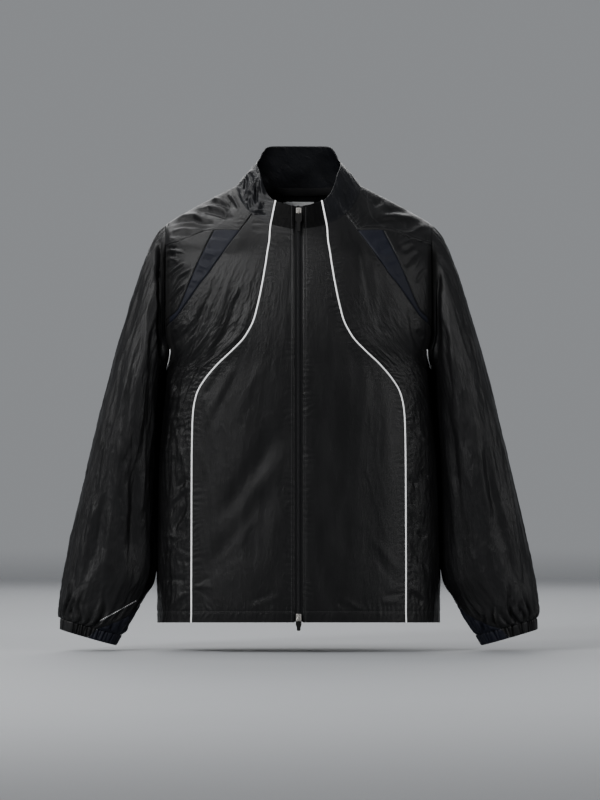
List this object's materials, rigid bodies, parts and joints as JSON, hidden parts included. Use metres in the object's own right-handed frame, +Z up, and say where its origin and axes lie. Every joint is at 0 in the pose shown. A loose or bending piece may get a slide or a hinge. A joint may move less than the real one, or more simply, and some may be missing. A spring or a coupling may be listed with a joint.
{
  "type": "track jacket",
  "caption": "Hollow filled-out track jacket with a stand collar, zip front, piped panels, raglan shoulder inserts and gathered elastic cuffs.",
  "frame": {"origin": "middle of the neck at shoulder height, where the wearer carries the jacket", "axes": "+Z up the body, -Y out of the zip front, +X towards the wearer's left"},
  "size_m": [0.769, 0.2583, 0.8002],
  "materials": {
    "black_cloth": "smooth black woven shell cloth with a faint sheen",
    "navy_cloth": "dark navy woven cloth, a little more matte",
    "collar_cloth": "dark navy woven collar cloth",
    "white_piping": "pale reflective piping",
    "zip_tape": "black woven zip tape",
    "zip_chain": "black moulded coil",
    "zip_metal": "polished plated zip slider and wire loop",
    "pull_rubber": "black moulded zip pull",
    "neck_label": "grey woven label, blank"
  },
  "bodies": {
    "jacket": {"back": "black_cloth", "collar_back": "collar_cloth", "collar_front_left": "black_cloth", "collar_front_right": "black_cloth", "cuff_gusset_left": "navy_cloth", "cuff_gusset_right": "navy_cloth", "cuff_left": "black_cloth", "cuff_right": "black_cloth", "front_left": "black_cloth", "front_piping_left": "white_piping", "front_piping_right": "white_piping", "front_right": "black_cloth", "insert_left": "navy_cloth", "insert_right": "navy_cloth", "neck_label": "neck_label", "shoulder_front_left": "black_cloth", "shoulder_front_right": "black_cloth", "side_left": "black_cloth", "side_piping_left": "white_piping", "side_piping_right": "white_piping", "side_right": "black_cloth", "sleeve_left": "black_cloth", "sleeve_right": "black_cloth", "slider_bottom": "zip_metal", "slider_top": "zip_metal", "yoke_left": "black_cloth", "yoke_right": "black_cloth", "zip_chain": "zip_chain", "zip_tape_left": "zip_tape", "zip_tape_right": "zip_tape"},
    "top_pull": {"pull_loop_top": "zip_metal", "pull_tab_top": "pull_rubber"},
    "bottom_pull": {"pull_loop_bottom": "zip_metal", "pull_tab_bottom": "pull_rubber"}
  },
  "joints": [
    {"name": "top_pull_swing", "type": "hinge", "parent": "jacket", "child": "top_pull", "pos_m": [0, -0.09237, -0.0384], "axis": [-1, 0, 0], "range_deg": [0, 150]},
    {"name": "bottom_pull_swing", "type": "hinge", "parent": "jacket", "child": "bottom_pull", "pos_m": [0, -0.12939, -0.6843], "axis": [-1, 0, 0], "range_deg": [0, 150]}
  ]
}
